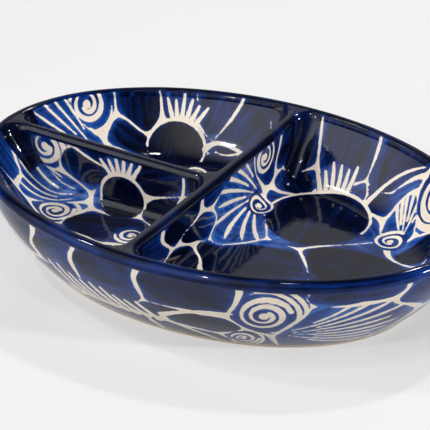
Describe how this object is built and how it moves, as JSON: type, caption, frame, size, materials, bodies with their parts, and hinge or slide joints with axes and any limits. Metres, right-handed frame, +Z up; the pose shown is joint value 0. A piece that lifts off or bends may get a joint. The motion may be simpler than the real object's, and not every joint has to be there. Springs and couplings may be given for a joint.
{
  "type": "divided serving bowl",
  "caption": "Oval glazed ceramic serving dish with a rolled rim and foot ring, split by a cross divider and a long divider into one large and two small compartments.",
  "frame": {"origin": "on the table, under the middle of the oval", "axes": "+X along the length, towards the large compartment; +Y across the width; +Z up"},
  "size_m": [0.33, 0.228, 0.062],
  "materials": {
    "painted_glaze": "glossy clear glaze over cobalt brushwork on a cream ground",
    "lip_glaze": "glossy dark cobalt glaze",
    "bare_foot": "unglazed fired clay, glazed blue on the outer face"
  },
  "bodies": {
    "root": {"bowl_shell": "painted_glaze", "lip_roll": "lip_glaze", "foot_ring": "bare_foot", "cross_divider": "painted_glaze", "long_divider": "painted_glaze", "seam_coil_large": "painted_glaze", "seam_coil_far": "painted_glaze", "seam_coil_near": "painted_glaze"}
  },
  "joints": []
}
